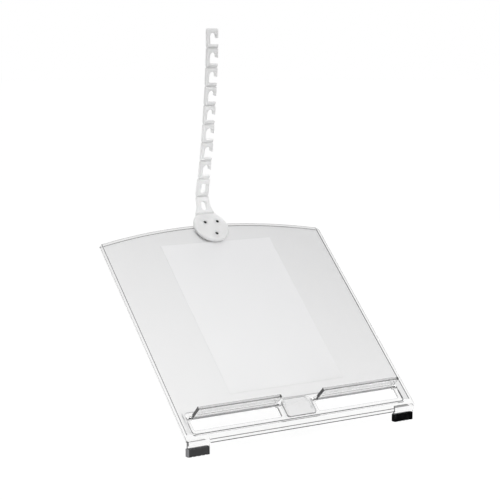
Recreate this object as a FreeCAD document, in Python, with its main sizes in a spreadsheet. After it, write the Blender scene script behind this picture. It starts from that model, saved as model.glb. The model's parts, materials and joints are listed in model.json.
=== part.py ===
import FreeCAD, Part
import Sketcher
import math
import os
import re
from FreeCAD import Placement, Rotation, Vector

# In-line copy holder: a clear plate that leans from the desk to a peg on the monitor.
# Panel frame: x across, y up the slope from the front edge, z out of the reading face.
# Desk frame: x across, y away from the reader, z up. Lengths are millimetres, angles degrees.

SIZES = [
    # panel outline and walls
    ("panel_width", 424.0),
    ("panel_rise", 25.7),
    ("panel_tilt", 42.8),
    ("panel_thick", 3.2),
    ("rear_corner", 8.0),
    ("front_corner", 3.0),
    ("rim_width", 5.6),
    ("rim_edge", 0.7),
    ("face_drop", 1.2),
    ("face_corner", 2.5),
    # stepped recess along the front, with its floor below the plate
    ("recess_side", 16.5),
    ("recess_front", 13.0),
    ("recess_reach", 37.5),
    ("recess_drop", 3.1),
    ("recess_floor", 2.5),
    ("recess_wall", 2.4),
    ("recess_corner", 6.0),
    # windows that the lips fold over
    ("window_side", 21.8),
    ("window_middle", 69.0),
    ("window_front", 19.5),
    ("window_reach", 25.9),
    ("window_corner", 3.0),
    # centre boss and its bare plate
    ("plate_width", 55.0),
    ("plate_reach", 33.5),
    ("plate_front", 15.0),
    ("plate_thick", 1.2),
    ("plate_low_corner", 5.0),
    ("plate_high_corner", 9.0),
    ("plate_edge", 0.4),
    ("boss_margin", 1.5),
    # satin field for an A4 page, which sets how far up the plate's straight sides run
    ("field_width", 210.0),
    ("field_reach", 297.0),
    ("field_thick", 0.3),
    ("field_front", 72.6),
    ("field_rear", 11.8),
    ("field_corner", 1.5),
    ("panel_side", "=field_front + field_reach + field_rear"),
    # front flange, the brackets and tongues behind it, and the feet
    ("flange_drop", 6.3),
    ("flange_thick", 3.0),
    ("bracket_drop", 11.6),
    ("bracket_thick", 3.0),
    ("foot_width", 37.5),
    ("foot_inset", 2.8),
    ("foot_depth", 10.0),
    ("foot_lead", 1.5),
    ("foot_height", 12.1),
    ("foot_corner", 2.5),
    ("foot_edge", 0.8),
    ("groove_width", 2.0),
    ("groove_depth", 0.8),
    ("tongue_width", 28.0),
    ("tongue_drop", 5.5),
    ("tongue_gap", 0.1),
    # lips and their hinges
    ("lip_thick", 2.8),
    ("lip_height", 26.4),
    ("hook_depth", 6.0),
    ("hook_height", 3.2),
    ("hook_round", 1.0),
    ("rib_thick", 1.6),
    ("rib_foot", 3.2),
    ("rib_inset", 0.5),
    ("barrel_radius", 2.5),
    ("lip_lean", 4.0),
    ("bead_radius", 0.5),
    ("bead_height", 11.0),
    ("bead_inset", 4.0),
    ("hinge_line", 40.5),
    ("hinge_drop", 1.4),
    ("pin_radius", 1.2),
    ("pin_play", 0.05),
    ("pin_edge", 0.3),
    ("pin_in_ear", 6.0),
    ("pin_in_lip", 8.0),
    ("ear_gap", 1.0),
    ("ear_length", 9.0),
    ("ear_round", 2.6),
    # hub at the top edge
    ("hub_radius", 31.3),
    ("hub_inset", 9.2),
    ("hub_round", 3.2),
    ("seat_radius", 27.0),
    ("boss_radius", 21.0),
    ("boss_play", 0.08),
    ("washer_play", 0.05),
    ("washer_thick", 0.45),
    ("washer_inside", 22.0),
    ("washer_outside", 26.0),
    ("retainer_radius", 28.0),
    ("retainer_thick", 4.0),
    ("retainer_play", 0.1),
    ("retainer_round", 1.5),
    ("screw_circle", 15.5),
    ("screw_east", 2.8),
    ("screw_low", 1.9),
    ("screw_head", 2.7),
    ("screw_head_thick", 1.6),
    ("screw_shank", 1.5),
    ("screw_reach", 11.5),
    ("screw_play", 0.05),
    ("screw_well", 3.0),
    ("screw_sink", 2.5),
    ("drive_width", 0.8),
    ("drive_depth", 0.8),
    # strap
    ("strap_width", 20.0),
    ("lower_width", 21.4),
    ("strap_thick", 7.6),
    ("strap_pitch", 31.0),
    ("strap_edge", 1.0),
    ("neck_reach", 28.6),
    ("web_thick", 1.8),
    ("web_gap", 0.3),
    ("spine_width", 4.4),
    ("notch_width", 13.0),
    ("notch_foot", 5.6),
    ("notch_height", 18.6),
    ("notch_corner", 2.0),
    ("mouth_height", 9.9),
    ("top_corner", 2.5),
    ("window_spine", 6.0),
    ("slot_width", 12.2),
    ("window_foot", 5.9),
    ("window_height", 16.1),
    ("oval_width", 12.0),
    ("oval_height", 16.3),
    ("oval_foot", 5.5),
    ("flare_width", 36.0),
    ("flare_height", 20.0),
    # how far a cutting shape runs past what it cuts
    ("overrun", 5.0),
]

# How far each length of the strap leans towards the reader, from the hub up.
LINK_LEANS = [-17.6, 13.5, 12.6, 10.6, 8.5, 7.5, 7.0, 5.5, 4.5, 0.0]
SCREW_ANGLES = [40.0, 140.0, 270.0]
GROOVE_SHARES = [-0.3, -0.1, 0.1, 0.3]
NEAR = 1e-4

doc = FreeCAD.newDocument("copy_holder")
sheet = doc.addObject("Spreadsheet::Sheet", "Sizes")
for row, (alias, number) in enumerate(SIZES, start=1):
    sheet.set("A%d" % row, alias)
    sheet.set("B%d" % row, str(number))
    sheet.setAlias("B%d" % row, alias)
doc.recompute()
ALIASES = {alias for alias, number in SIZES}
PIECES = []

EAST, NORTH, UP = Vector(1, 0, 0), Vector(0, 1, 0), Vector(0, 0, 1)
HALF = "(panel_width / 2)"
ARC_RADIUS = "((panel_width ^ 2 / 4 + panel_rise ^ 2) / (2 * panel_rise))"
ARC_CENTRE = "(panel_side + panel_rise - %s)" % ARC_RADIUS
HUB_LINE = "(panel_side + panel_rise - hub_inset)"
TRAY_BOTTOM = "(recess_drop + recess_floor)"
EAR_INNER = "(plate_width / 2 + boss_margin)"
EAR_OUTER = "(panel_width / 2 - recess_side - ear_length)"
LIP_START = "(%s + ear_length + ear_gap)" % EAR_INNER
LIP_END = "(%s - ear_gap)" % EAR_OUTER
HUB_BOTTOM = "(washer_play + washer_thick)"
HUB_TOP = "(washer_play + washer_thick + strap_thick)"
HUB_MIDDLE = "(washer_play + washer_thick + strap_thick / 2)"
FLANK = "(strap_thick / 2 - web_thick / 2)"
WEB_STOP = "(web_thick / 2 + web_gap)"
WEB_SHOULDER = "(web_thick + web_gap)"
FOOT_CENTRE = "(panel_width / 2 - foot_inset - foot_width / 2)"
FOOT_FRONT = "(flange_thick - foot_lead)"


def sized(text):
    """Return a formula with each size name pointing at its cell."""
    return re.sub(r"[a-z_]+", lambda name: ("Sizes." if name.group() in ALIASES else "") + name.group(), text)


def value(text):
    """Return what a formula comes to."""
    return float(sheet.evalExpression(text))


def bind(thing, name, text):
    """Tie a property of an object to a formula."""
    thing.setExpression(name, sized(text))


def new_body(label, separate=False):
    """Start a piece, which may be a group of separate solids."""
    body = doc.addObject("PartDesign::Body", label)
    body.Label = label
    body.AllowCompound = separate
    PIECES.append(body)
    return body


def origin_plane(body, role):
    """Find an origin plane of a piece."""
    return [feature for feature in body.Origin.OriginFeatures if feature.Role == role][0]


def new_sketch(body, role, name, level="0"):
    """Start a sketch on an origin plane of a piece, lifted along the plane's normal."""
    sketch = body.newObject("Sketcher::SketchObject", body.Label + "_" + name)
    sketch.AttachmentSupport = (origin_plane(body, role), [""])
    sketch.MapMode = "FlatFace"
    bind(sketch, "AttachmentOffset.Base.z", level)
    return sketch


def hold(sketch, edge, end, kind, text):
    """Hold one coordinate of a point of a sketch at a formula."""
    number = value(text)
    if abs(number) < NEAR:
        axis = -2 if kind == "DistanceX" else -1
        sketch.addConstraint(Sketcher.Constraint("PointOnObject", edge, end, axis))
    elif number > 0:
        index = sketch.addConstraint(Sketcher.Constraint(kind, -1, 1, edge, end, number))
        bind(sketch, "Constraints[%d]" % index, text)
    else:
        index = sketch.addConstraint(Sketcher.Constraint(kind, edge, end, -1, 1, -number))
        bind(sketch, "Constraints[%d]" % index, "-(%s)" % text)


def add_circle(sketch, x, y, radius):
    """Draw a circle from formulas."""
    centre = Vector(value(x), value(y), 0)
    edge = sketch.addGeometry(Part.Circle(centre, UP, value(radius)), False)
    hold(sketch, edge, 3, "DistanceX", x)
    hold(sketch, edge, 3, "DistanceY", y)
    index = sketch.addConstraint(Sketcher.Constraint("Radius", edge, value(radius)))
    bind(sketch, "Constraints[%d]" % index, radius)


def arc_between(start, stop, centre, outward):
    """Return the arc about a centre that joins two points, and its end numbers in drawing order."""
    one, two = (start, stop) if outward else (stop, start)
    begin = math.atan2(one.y - centre.y, one.x - centre.x)
    finish = math.atan2(two.y - centre.y, two.x - centre.x)
    if finish <= begin:
        finish += 2 * math.pi
    arc = Part.ArcOfCircle(Part.Circle(centre, UP, (start - centre).Length), begin, finish)
    return arc, ((1, 2) if outward else (2, 1))


def add_outline(sketch, corners, arcs=None):
    """Draw a closed outline through corners, anticlockwise.

    arcs maps the number of an edge to its centre, and to True where it bulges out.
    """
    arcs = arcs or {}
    points = [Vector(value(x), value(y), 0) for x, y in corners]
    edges = []
    for number, start in enumerate(points):
        stop = points[(number + 1) % len(points)]
        curve, ends = Part.LineSegment(start, stop), (1, 2)
        if number in arcs:
            (x, y), outward = arcs[number]
            curve, ends = arc_between(start, stop, Vector(value(x), value(y), 0), outward)
        edges.append((sketch.addGeometry(curve, False), ends))
    for number, (edge, ends) in enumerate(edges):
        following, next_ends = edges[(number + 1) % len(edges)]
        sketch.addConstraint(Sketcher.Constraint("Coincident", edge, ends[1], following, next_ends[0]))
        hold(sketch, edge, ends[0], "DistanceX", corners[number][0])
        hold(sketch, edge, ends[0], "DistanceY", corners[number][1])
    for number, ((x, y), outward) in arcs.items():
        chord = points[(number + 1) % len(points)] - points[number]
        if abs(chord.x) > abs(chord.y):
            hold(sketch, edges[number][0], 3, "DistanceY", y)
        else:
            hold(sketch, edges[number][0], 3, "DistanceX", x)


def add_box(sketch, west, east, south, north):
    """Draw a rectangle from formulas."""
    add_outline(sketch, [(west, south), (east, south), (east, north), (west, north)])


def add_soft_box(sketch, west, east, south, north, low, high):
    """Draw a rectangle with one radius at its two low corners and one at its two high ones."""
    corners = [("%s + %s" % (west, low), south), ("%s - %s" % (east, low), south),
               (east, "%s + %s" % (south, low)), (east, "%s - %s" % (north, high)),
               ("%s - %s" % (east, high), north), ("%s + %s" % (west, high), north),
               (west, "%s - %s" % (north, high)), (west, "%s + %s" % (south, low))]
    arcs = {1: ((corners[1][0], corners[2][1]), True), 3: ((corners[4][0], corners[3][1]), True),
            5: ((corners[5][0], corners[6][1]), True), 7: ((corners[0][0], corners[7][1]), True)}
    add_outline(sketch, corners, arcs)


def add_oval(sketch, x, foot, width, height):
    """Draw an upright slot with two round ends."""
    west, east = "%s - %s / 2" % (x, width), "%s + %s / 2" % (x, width)
    low, high = "%s + %s / 2" % (foot, width), "%s + %s - %s / 2" % (foot, height, width)
    corners = [(east, low), (east, high), (west, high), (west, low)]
    add_outline(sketch, corners, {1: ((x, high), True), 3: ((x, low), True)})


def shape_with(kind, sketch, length, both_ways=False, reverse=False):
    """Pad or pocket a sketch by a formula; a pad rises and a pocket sinks unless it is reversed."""
    body = sketch.getParentGeoFeatureGroup()
    item = body.newObject("PartDesign::" + kind, sketch.Label + "_" + kind.lower())
    item.Profile = sketch
    item.Reversed = reverse
    if both_ways:
        item.SideType = "Symmetric"
    bind(item, "Length", length)
    doc.recompute()
    return item


def finish_edges(kind, base, test, size):
    """Fillet or chamfer the edges of a feature that pass a test."""
    body = base.getParentGeoFeatureGroup()
    names = ["Edge%d" % n for n, edge in enumerate(base.Shape.Edges, start=1) if test(edge)]
    item = body.newObject("PartDesign::" + kind, base.Label + "_" + kind.lower())
    item.Base = (base, names)
    bind(item, "Radius" if kind == "Fillet" else "Size", size)
    doc.recompute()
    return item


def runs_along(edge, axis):
    """Tell whether an edge is straight and runs along an axis."""
    if edge.Curve.TypeId != "Part::GeomLine":
        return False
    return edge.tangentAt(edge.FirstParameter).cross(axis).Length < NEAR


def at_level(edge, axis, level):
    """Tell whether a whole edge lies at one level along an axis."""
    return all(abs(vertex.Point.dot(axis) - level) < NEAR for vertex in edge.Vertexes)


def upright(y, z):
    """Turn a place in the desk frame into the panel frame."""
    return ("(%s) * cos(panel_tilt) + (%s) * sin(panel_tilt)" % (y, z),
            "(%s) * cos(panel_tilt) - (%s) * sin(panel_tilt)" % (z, y))


def inside_plate(y):
    """Turn a distance behind the front edge into a place up the slope, halfway through the plate."""
    return "(%s - panel_thick / 2 * sin(panel_tilt)) / cos(panel_tilt)" % y


def make_panel():
    """The clear plate, moulded in one with its border, recess, ears, boss, flange and tongues."""
    body = new_body("panel")
    outline = new_sketch(body, "XY_Plane", "outline")
    corners = [("front_corner - " + HALF, "0"), (HALF + " - front_corner", "0"), (HALF, "front_corner"),
               (HALF, "panel_side"), ("-" + HALF, "panel_side"), ("-" + HALF, "front_corner")]
    add_outline(outline, corners, {3: (("0", ARC_CENTRE), True)})
    plate = shape_with("Pad", outline, "panel_thick", reverse=True)
    rear = value("panel_side / 2")
    plate = finish_edges("Fillet", plate, lambda e: runs_along(e, UP) and e.BoundBox.YMin > rear,
                         "rear_corner")
    finish_edges("Chamfer", plate, lambda e: at_level(e, UP, 0) and e.BoundBox.YMax > rear, "rim_edge")

    face = new_sketch(body, "XY_Plane", "face")
    side = "(%s - rim_width)" % HALF
    shoulder = "%s + sqrt((%s - rim_width) ^ 2 - %s ^ 2)" % (ARC_CENTRE, ARC_RADIUS, side)
    corners = [("-" + side, "recess_front"), (side, "recess_front"), (side, shoulder), ("-" + side, shoulder)]
    add_outline(face, corners, {2: (("0", ARC_CENTRE), True)})
    plate = shape_with("Pocket", face, "face_drop")
    inside = value(side)
    finish_edges("Fillet", plate, lambda e: runs_along(e, UP) and abs(abs(e.BoundBox.XMax) - inside) < NEAR
                 and e.BoundBox.YMin > 0, "face_corner")

    tray = new_sketch(body, "XY_Plane", "tray", "-panel_thick")
    west, east = "-(%s - recess_side)" % HALF, "(%s - recess_side)" % HALF
    south, north = "recess_front", "recess_front + recess_reach"
    add_soft_box(tray, west + " - recess_wall", east + " + recess_wall", south + " - recess_wall",
                 north + " + recess_wall", "recess_corner + recess_wall", "recess_corner + recess_wall")
    shape_with("Pad", tray, TRAY_BOTTOM + " - panel_thick", reverse=True)
    recess = new_sketch(body, "XY_Plane", "recess")
    add_soft_box(recess, west, east, south, north, "recess_corner", "recess_corner")
    shape_with("Pocket", recess, "recess_drop")

    windows = new_sketch(body, "XY_Plane", "windows")
    near, far = "(window_middle / 2)", "(%s - window_side)" % HALF
    south, north = "window_front", "window_front + window_reach"
    add_soft_box(windows, near, far, south, north, "window_corner", "window_corner")
    add_soft_box(windows, "-" + far, "-" + near, south, north, "window_corner", "window_corner")
    shape_with("Pocket", windows, TRAY_BOTTOM + " + overrun")

    boss = new_sketch(body, "XY_Plane", "centre_boss", "-recess_drop")
    reach = "(plate_width / 2 - boss_margin)"
    add_soft_box(boss, "-" + reach, reach, "plate_front + boss_margin",
                 "plate_front + plate_reach - boss_margin", "plate_low_corner - boss_margin",
                 "plate_high_corner - boss_margin")
    shape_with("Pad", boss, "recess_drop - plate_thick")

    ears = (("left_outer", "-(%s + ear_length)" % EAR_OUTER), ("right_outer", EAR_OUTER),
            ("left_inner", "-(%s + ear_length)" % EAR_INNER), ("right_inner", EAR_INNER))
    for name, place in ears:
        ear = new_sketch(body, "YZ_Plane", name + "_ear", place)
        back, front = "hinge_line + ear_round", "hinge_line - ear_round"
        corners = [(front, "-" + TRAY_BOTTOM), (back, "-" + TRAY_BOTTOM), (back, "-hinge_drop"),
                   (front, "-hinge_drop")]
        add_outline(ear, corners, {2: (("hinge_line", "-hinge_drop"), True)})
        shape_with("Pad", ear, "ear_length")
    bores = ((LIP_START + " - ear_gap", False), ("-(%s - ear_gap)" % LIP_START, True),
             (EAR_OUTER, True), ("-" + EAR_OUTER, False))
    for number, (place, eastward) in enumerate(bores, start=1):
        bore = new_sketch(body, "YZ_Plane", "ear_bore_%d" % number, place)
        add_circle(bore, "hinge_line", "-hinge_drop", "pin_radius + pin_play")
        shape_with("Pocket", bore, "pin_in_ear + pin_play", reverse=eastward)

    flange = new_sketch(body, "YZ_Plane", "flange")
    add_outline(flange, [upright("0", "0"), upright("0", "-flange_drop"),
                         upright("flange_thick", "-flange_drop"), upright("flange_thick", "0")])
    shape_with("Pad", flange, "panel_width - 2 * front_corner", both_ways=True)
    back = "flange_thick + bracket_thick"
    for side, centre in (("left", "-" + FOOT_CENTRE), ("right", FOOT_CENTRE)):
        for name, width, drop in (("bracket", "foot_width", "-bracket_drop"),
                                  ("tongue", "tongue_width", "-bracket_drop - tongue_drop")):
            hanger = new_sketch(body, "YZ_Plane", side + "_" + name, "%s - %s / 2" % (centre, width))
            add_outline(hanger, [(inside_plate("flange_thick"), "-panel_thick / 2"),
                                 upright("flange_thick", drop), upright(back, drop),
                                 (inside_plate(back), "-panel_thick / 2")])
            shape_with("Pad", hanger, width)

    seat = new_sketch(body, "XY_Plane", "hub_seat", "-face_drop")
    chord = "(hub_inset - rim_width / 2)"
    reach = "sqrt(seat_radius ^ 2 - %s ^ 2)" % chord
    corners = [("-" + reach, "%s + %s" % (HUB_LINE, chord)), (reach, "%s + %s" % (HUB_LINE, chord))]
    add_outline(seat, corners, {0: (("0", HUB_LINE), True)})
    shape_with("Pad", seat, "face_drop")
    notch = new_sketch(body, "XY_Plane", "hub_notch")
    add_circle(notch, "0", HUB_LINE, "boss_radius + boss_play")
    shape_with("Pocket", notch, "panel_thick + overrun")


def make_centre_plate():
    """The bare rounded plate between the two lips."""
    body = new_body("centre_plate")
    outline = new_sketch(body, "XY_Plane", "outline", "-plate_thick")
    add_soft_box(outline, "-plate_width / 2", "plate_width / 2", "plate_front", "plate_front + plate_reach",
                 "plate_low_corner", "plate_high_corner")
    plate = shape_with("Pad", outline, "plate_thick")
    finish_edges("Chamfer", plate, lambda e: at_level(e, UP, 0), "plate_edge")


def make_reading_field():
    """The satin A4 field on the reading face."""
    body = new_body("reading_field")
    outline = new_sketch(body, "XY_Plane", "outline", "-face_drop")
    add_soft_box(outline, "-field_width / 2", "field_width / 2", "field_front", "field_front + field_reach",
                 "field_corner", "field_corner")
    shape_with("Pad", outline, "field_thick")


def make_foot(name, centre):
    """A rubber foot, pushed up over a tongue behind the flange, with a grooved sole."""
    body = new_body(name)
    outline = new_sketch(body, "XY_Plane", "outline", "-bracket_drop - foot_height")
    add_soft_box(outline, "%s - foot_width / 2" % centre, "%s + foot_width / 2" % centre,
                 FOOT_FRONT, FOOT_FRONT + " + foot_depth", "foot_corner", "foot_corner")
    foot = shape_with("Pad", outline, "foot_height")
    top = -value("bracket_drop")
    finish_edges("Chamfer", foot, lambda e: at_level(e, UP, top), "foot_edge")
    socket = new_sketch(body, "XY_Plane", "socket", "-bracket_drop")
    reach = "(tongue_width / 2 + tongue_gap)"
    add_box(socket, "%s - %s" % (centre, reach), "%s + %s" % (centre, reach),
            "flange_thick - tongue_gap", "flange_thick + bracket_thick + tongue_gap")
    shape_with("Pocket", socket, "tongue_drop + tongue_gap")
    tread = new_sketch(body, "XY_Plane", "tread", "-bracket_drop - foot_height")
    for share in GROOVE_SHARES:
        place = "%s + %s * foot_width" % (centre, share)
        add_box(tread, place + " - groove_width / 2", place + " + groove_width / 2",
                FOOT_FRONT + " - overrun", FOOT_FRONT + " + foot_depth + overrun")
    shape_with("Pocket", tread, "groove_depth", reverse=True)


def make_lip(name, west, east):
    """A fold-out lip: a plate with a barrel on its hinge line, a hooked free edge and ribbed ends."""
    body = new_body(name)
    half = "lip_thick / 2"
    neck = "sqrt(barrel_radius ^ 2 - lip_thick ^ 2 / 4)"
    profile = new_sketch(body, "YZ_Plane", "profile", west)
    ledge = "lip_height - hook_height"
    corners = [(half, neck), (half, ledge), ("hook_depth - " + half, ledge),
               ("hook_depth - " + half, "lip_height"), ("-" + half, "lip_height"), ("-" + half, neck)]
    add_outline(profile, corners, {5: (("0", "0"), True)})
    lip = shape_with("Pad", profile, "%s - %s" % (east, west))
    high = value("lip_height - hook_height") - NEAR
    finish_edges("Fillet", lip, lambda e: runs_along(e, EAST) and e.BoundBox.ZMin > high, "hook_round")
    for end, place in (("west", west), ("east", east + " - rib_thick")):
        rib = new_sketch(body, "YZ_Plane", end + "_rib", place)
        add_box(rib, "0", "hook_depth - rib_inset - " + half, "rib_foot", "lip_height - hook_height / 2")
        shape_with("Pad", rib, "rib_thick")
    bead = new_sketch(body, "YZ_Plane", "bead", west + " + bead_inset")
    add_circle(bead, "-" + half, "bead_height", "bead_radius")
    shape_with("Pad", bead, "%s - %s - 2 * bead_inset" % (east, west))
    for end, place, eastward in (("west", west, True), ("east", east, False)):
        bore = new_sketch(body, "YZ_Plane", end + "_bore", place)
        add_circle(bore, "0", "0", "pin_radius + pin_play")
        shape_with("Pocket", bore, "pin_in_lip + pin_play", reverse=eastward)


def make_pin(name, start, in_west, in_east):
    """A steel hinge pin across the gap between an ear and a lip."""
    body = new_body(name)
    section = new_sketch(body, "YZ_Plane", "section", "%s - %s" % (start, in_west))
    add_circle(section, "0", "0", "pin_radius")
    pin = shape_with("Pad", section, "%s + ear_gap + %s" % (in_west, in_east))
    finish_edges("Chamfer", pin, lambda e: e.Curve.TypeId == "Part::GeomCircle", "pin_edge")


def screw_place(angle):
    """Return the formulas for a screw's place on the hub."""
    return "screw_circle * cos(%s) + screw_east" % angle, "screw_circle * sin(%s) - screw_low" % angle


def add_screw_circles(sketch, radius):
    """Draw one circle for each screw."""
    for angle in SCREW_ANGLES:
        x, y = screw_place(angle)
        add_circle(sketch, x, y, radius)


def make_strap_hub():
    """The strap's round front end, cut off at the strap's root flex line, with three screw wells."""
    body = new_body("strap_hub")
    outline = new_sketch(body, "XY_Plane", "outline", HUB_BOTTOM)
    add_circle(outline, "0", "0", "hub_radius")
    disc = shape_with("Pad", outline, "strap_thick")
    finish_edges("Fillet", disc, lambda e: e.Curve.TypeId == "Part::GeomCircle", "hub_round")
    neck = new_sketch(body, "XY_Plane", "neck", HUB_BOTTOM)
    add_box(neck, "-flare_width / 2", "flare_width / 2", "0", "neck_reach")
    shape_with("Pad", neck, "strap_thick")
    groove = new_sketch(body, "YZ_Plane", "groove")
    low, high = "neck_reach - %s - overrun" % FLANK, "hub_radius + overrun"
    stop = "neck_reach - " + WEB_STOP
    corners = [(low, HUB_BOTTOM + " - overrun"), (high, HUB_BOTTOM + " - overrun"),
               (high, HUB_TOP + " + overrun"), (low, HUB_TOP + " + overrun"),
               (stop, "%s + %s" % (HUB_MIDDLE, WEB_SHOULDER)), (stop, "%s - %s" % (HUB_MIDDLE, WEB_SHOULDER))]
    add_outline(groove, corners)
    shape_with("Pocket", groove, "2 * hub_radius + overrun", both_ways=True)
    wells = new_sketch(body, "XY_Plane", "wells", HUB_TOP)
    add_screw_circles(wells, "screw_well")
    shape_with("Pocket", wells, "screw_sink")
    holes = new_sketch(body, "XY_Plane", "holes", HUB_TOP)
    add_screw_circles(holes, "screw_shank + screw_play")
    shape_with("Pocket", holes, "strap_thick + overrun")


def make_hub_washer():
    """The thin friction washer between the hub and the panel."""
    body = new_body("hub_washer")
    ring = new_sketch(body, "XY_Plane", "ring", "washer_play")
    add_circle(ring, "0", "0", "washer_outside")
    add_circle(ring, "0", "0", "washer_inside")
    shape_with("Pad", ring, "washer_thick")


def make_hub_retainer():
    """The rear disc whose boss turns in the panel's notch."""
    body = new_body("hub_retainer")
    top = "-panel_thick - retainer_play"
    disc = new_sketch(body, "XY_Plane", "disc", top)
    add_circle(disc, "0", "0", "retainer_radius")
    flange = shape_with("Pad", disc, "retainer_thick", reverse=True)
    bottom = value(top + " - retainer_thick")
    finish_edges("Fillet", flange, lambda e: at_level(e, UP, bottom), "retainer_round")
    boss = new_sketch(body, "XY_Plane", "boss", top)
    add_circle(boss, "0", "0", "boss_radius")
    shape_with("Pad", boss, "panel_thick + retainer_play + " + HUB_BOTTOM)
    holes = new_sketch(body, "XY_Plane", "holes", HUB_BOTTOM)
    add_screw_circles(holes, "screw_shank + screw_play")
    shape_with("Pocket", holes, "screw_reach + screw_sink + screw_play - strap_thick")


def make_hub_screws():
    """The three screws that draw the hub and the retainer together."""
    body = new_body("hub_screws", separate=True)
    seat = HUB_TOP + " - screw_sink"
    heads = new_sketch(body, "XY_Plane", "heads", seat)
    add_screw_circles(heads, "screw_head")
    shape_with("Pad", heads, "screw_head_thick")
    shanks = new_sketch(body, "XY_Plane", "shanks", seat)
    add_screw_circles(shanks, "screw_shank")
    shape_with("Pad", shanks, "screw_reach", reverse=True)
    drives = new_sketch(body, "XY_Plane", "drives", seat + " + screw_head_thick")
    for angle in SCREW_ANGLES:
        x, y = screw_place(angle)
        add_box(drives, x + " - screw_head", x + " + screw_head",
                y + " - drive_width / 2", y + " + drive_width / 2")
    shape_with("Pocket", drives, "drive_depth")


def make_link_blank(body, width, top_link=False):
    """One stiff length of the strap before its slot, with half a flex groove at each end."""
    half, web = "strap_thick / 2", "web_thick / 2"
    profile = new_sketch(body, "YZ_Plane", "profile")
    if top_link:
        head = [(half, "strap_pitch"), ("-" + half, "strap_pitch")]
    else:
        head = [(half, "strap_pitch - " + FLANK), (WEB_SHOULDER, "strap_pitch - " + WEB_STOP),
                ("-" + WEB_SHOULDER, "strap_pitch - " + WEB_STOP), ("-" + half, "strap_pitch - " + FLANK)]
    corners = [(web, "0"), (half, FLANK)] + head + [("-" + half, FLANK), ("-" + web, "0")]
    add_outline(profile, corners, {len(corners) - 1: (("0", "0"), True)})
    blank = shape_with("Pad", profile, width, both_ways=True)
    return finish_edges("Fillet", blank, lambda e: runs_along(e, UP), "strap_edge")


def cut_hanging_notch(body):
    """Cut the notch that drops over the peg: round above, open at the side below a hooked nose."""
    notch = new_sketch(body, "XZ_Plane", "notch")
    west = "(spine_width - strap_width / 2)"
    east = "(spine_width + notch_width - strap_width / 2)"
    middle = "(spine_width + notch_width / 2 - strap_width / 2)"
    outside = "(strap_width / 2)"
    shoulder = "notch_foot + notch_height - notch_width / 2"
    nose = "notch_foot + mouth_height + (%s - %s) / 2" % (outside, east)
    corners = [(west + " + notch_corner", "notch_foot"), (outside + " + overrun", "notch_foot"),
               (outside + " + overrun", nose), (outside, nose), (east, nose), (east, shoulder),
               (west, shoulder), (west, "notch_foot + notch_corner")]
    arcs = {3: (("(%s + %s) / 2" % (outside, east), nose), False), 5: ((middle, shoulder), True),
            7: ((west + " + notch_corner", "notch_foot + notch_corner"), True)}
    add_outline(notch, corners, arcs)
    shape_with("Pocket", notch, "strap_thick + overrun", both_ways=True)


def make_root_link():
    """The first length of the strap: flared to the hub, with a closed oval slot."""
    body = new_body("strap_link_1")
    make_link_blank(body, "flare_width")
    flare = new_sketch(body, "XZ_Plane", "flare")
    step = "((flare_width - lower_width) / 2)"
    radius = "((%s ^ 2 + flare_height ^ 2) / (2 * %s))" % (step, step)
    outside, inside = "flare_width / 2", "lower_width / 2"
    corners = [(outside, "0"), (outside + " + overrun", "0"),
               (outside + " + overrun", "strap_pitch + overrun"), (inside, "strap_pitch + overrun"),
               (inside, "flare_height")]
    add_outline(flare, corners, {4: (("%s + %s" % (inside, radius), "flare_height"), True)})
    side = shape_with("Pocket", flare, "strap_thick + overrun", both_ways=True)
    mirror = body.newObject("PartDesign::Mirrored", body.Label + "_flare_mirror")
    mirror.Originals = [side]
    mirror.MirrorPlane = (origin_plane(body, "YZ_Plane"), [""])
    body.Tip = mirror
    doc.recompute()
    slot = new_sketch(body, "XZ_Plane", "slot")
    add_oval(slot, "0", "oval_foot", "oval_width", "oval_height")
    shape_with("Pocket", slot, "strap_thick + overrun", both_ways=True)


def make_window_link():
    """The second length of the strap, with a closed square slot."""
    body = new_body("strap_link_2")
    make_link_blank(body, "lower_width")
    slot = new_sketch(body, "XZ_Plane", "slot")
    west = "(window_spine - lower_width / 2)"
    add_soft_box(slot, west, west + " + slot_width", "window_foot", "window_foot + window_height",
                 "notch_corner", "notch_corner")
    shape_with("Pocket", slot, "strap_thick + overrun", both_ways=True)


def make_notched_link(number):
    """A length of the strap with a hanging notch; the last one has a plain rounded top."""
    body = new_body("strap_link_%d" % number)
    last = number == len(LINK_LEANS)
    blank = make_link_blank(body, "strap_width", last)
    if last:
        level = value("strap_pitch")
        side = value("strap_width / 2")
        finish_edges("Fillet", blank, lambda e: runs_along(e, NORTH) and at_level(e, UP, level)
                     and at_level(e, EAST, math.copysign(side, e.BoundBox.Center.x)), "top_corner")
    cut_hanging_notch(body)


def strap_frames():
    """Return each strap length's frame in the desk frame, from the hub up."""
    tilt = value("panel_tilt")
    tilted = Rotation(EAST, tilt)
    place = tilted.multVec(Vector(0, value(HUB_LINE + " + neck_reach"), value(HUB_MIDDLE)))
    frames = []
    for lean in LINK_LEANS:
        turn = Rotation(EAST, lean)
        frames.append(Placement(place, turn))
        place = place + turn.multVec(UP) * value("strap_pitch")
    return frames


def notch_seat():
    """Return the middle of the arch of a hanging notch, in the frame of its strap length."""
    middle = value("spine_width + notch_width / 2 - strap_width / 2")
    return Vector(middle, 0, value("notch_foot + notch_height - notch_width / 2"))


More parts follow.
